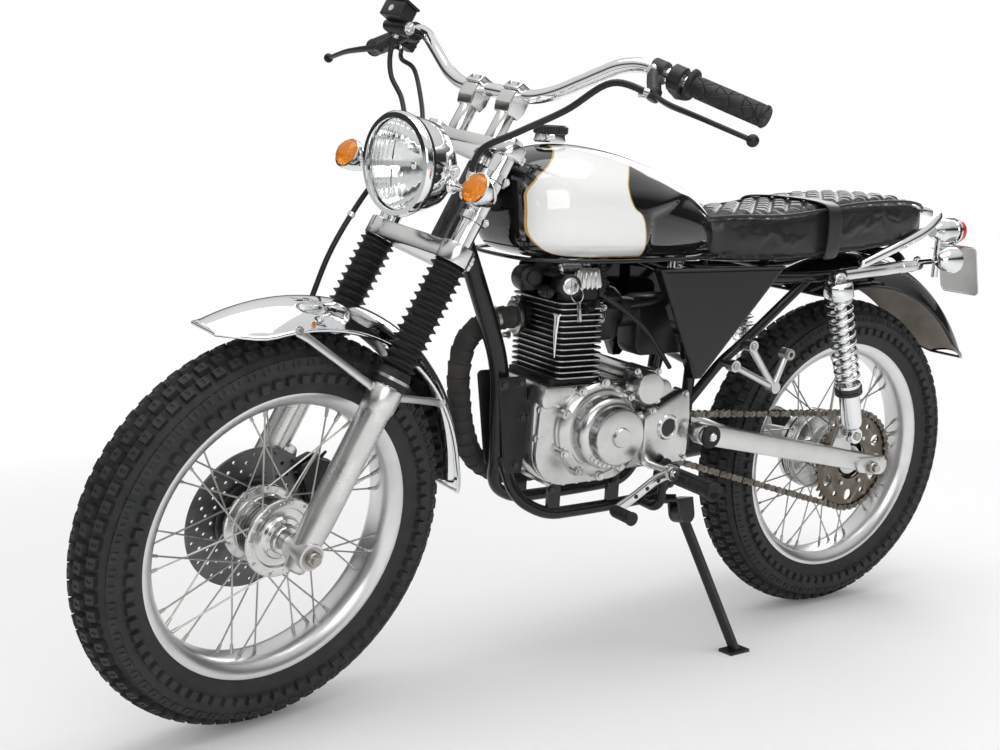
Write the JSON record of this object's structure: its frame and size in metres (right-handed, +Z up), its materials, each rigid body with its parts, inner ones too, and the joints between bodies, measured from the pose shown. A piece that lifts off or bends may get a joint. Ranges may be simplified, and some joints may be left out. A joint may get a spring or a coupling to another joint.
{
  "type": "scrambler style motorcycle",
  "caption": "Scrambler style motorcycle with a round headlight, high bar, blocky tyres and a quilted seat, leaning on its side stand.",
  "frame": {"origin": "on the ground, under the middle of the whole motorcycle as it stands parked", "axes": "+X forward, +Y to the motorcycle's left, +Z up; the motorcycle leans 7 degrees to its left about X"},
  "size_m": [1.9468, 0.9568, 1.2052],
  "materials": {
    "frame_black": "gloss black paint",
    "engine_aluminium": "satin",
    "cylinder_black": "satin black with bright fin edges",
    "cover_aluminium": "polished",
    "intake_grey": "cast",
    "exhaust_wrap": "woven heat wrap",
    "muffler_black": "satin black",
    "tank_paint": "gloss black with a white panel and a gold line",
    "cap_black": "knurled",
    "seat_cover": "quilted with piping",
    "side_cover_black": "gloss",
    "mudguard_dark": "satin",
    "arm_aluminium": "brushed",
    "shock_chrome": "bright",
    "chain_steel": "oiled",
    "chrome_trim": "bright",
    "lamp_chrome": "bright",
    "red_lens": "clear red",
    "plate_blank": "blank",
    "amber_lens": "clear amber",
    "brake_aluminium": "cast",
    "peg_black": "ribbed",
    "lever_aluminium": "satin",
    "hanger_aluminium": "satin",
    "clamp_aluminium": "satin",
    "gaiter_rubber": "matt",
    "slider_aluminium": "polished",
    "grip_rubber": "matt",
    "control_black": "satin",
    "clear_lens": "ribbed",
    "caliper_black": "satin black",
    "cable_black": "satin",
    "tyre_rubber": "blocky tread",
    "rim_aluminium": "satin",
    "hub_aluminium": "satin",
    "disc_steel": "brushed",
    "sprocket_bronze": "bronze",
    "stand_black": "satin black"
  },
  "bodies": {
    "frame": {"frame_tubes": "frame_black", "engine_case": "engine_aluminium", "engine_cylinder": "cylinder_black", "engine_head_cover": "cover_aluminium", "carburettor": "intake_grey", "exhaust_header": "exhaust_wrap", "muffler": "muffler_black", "fuel_tank": "tank_paint", "fuel_cap": "cap_black", "seat": "seat_cover", "side_covers": "side_cover_black", "rear_mudguard": "mudguard_dark", "swingarm": "arm_aluminium", "rear_shocks": "shock_chrome", "drive_chain": "chain_steel", "grab_rail": "chrome_trim", "tail_lamp": "lamp_chrome", "tail_lamp_lens": "red_lens", "number_plate": "plate_blank", "rear_indicators": "lamp_chrome", "rear_brake_plate": "brake_aluminium", "rider_pegs": "peg_black", "foot_controls": "lever_aluminium", "passenger_peg_hangers": "hanger_aluminium"},
    "steering": {"fork_crown": "clamp_aluminium", "fork_gaiters": "gaiter_rubber", "fork_sliders": "slider_aluminium", "handlebar": "chrome_trim", "handlebar_grips": "grip_rubber", "left_controls": "control_black", "right_controls": "control_black", "headlight": "lamp_chrome", "headlight_lens": "clear_lens", "front_indicators": "amber_lens", "front_mudguard": "chrome_trim", "brake_caliper": "caliper_black", "control_cables": "cable_black"},
    "front_wheel": {"front_tyre": "tyre_rubber", "front_rim": "rim_aluminium", "front_hub": "hub_aluminium", "front_brake_disc": "disc_steel"},
    "rear_wheel": {"rear_tyre": "tyre_rubber", "rear_rim": "rim_aluminium", "rear_hub": "hub_aluminium", "rear_sprocket": "sprocket_bronze"},
    "stand": {"side_stand": "stand_black"}
  },
  "joints": [
    {"name": "steering", "type": "hinge", "parent": "frame", "child": "steering", "pos_m": [0.33547, -0.03104, 0.82568], "axis": [-0.4772, 0.1071, 0.8723], "range_deg": [-50, 22]},
    {"name": "front_wheel_spin", "type": "hinge", "parent": "steering", "child": "front_wheel", "pos_m": [0.6644, -0.08048, 0.32382], "axis": [-0.2126, 0.949, -0.2328], "continuous": true},
    {"name": "rear_wheel_spin", "type": "hinge", "parent": "frame", "child": "rear_wheel", "pos_m": [-0.58029, -0.0924, 0.326], "axis": [0, 0.9925, -0.1219], "continuous": true},
    {"name": "side_stand_fold", "type": "hinge", "parent": "frame", "child": "stand", "pos_m": [-0.10629, 0.00522, 0.26767], "axis": [0, -0.9903, -0.1392], "range_deg": [0, 100]}
  ]
}
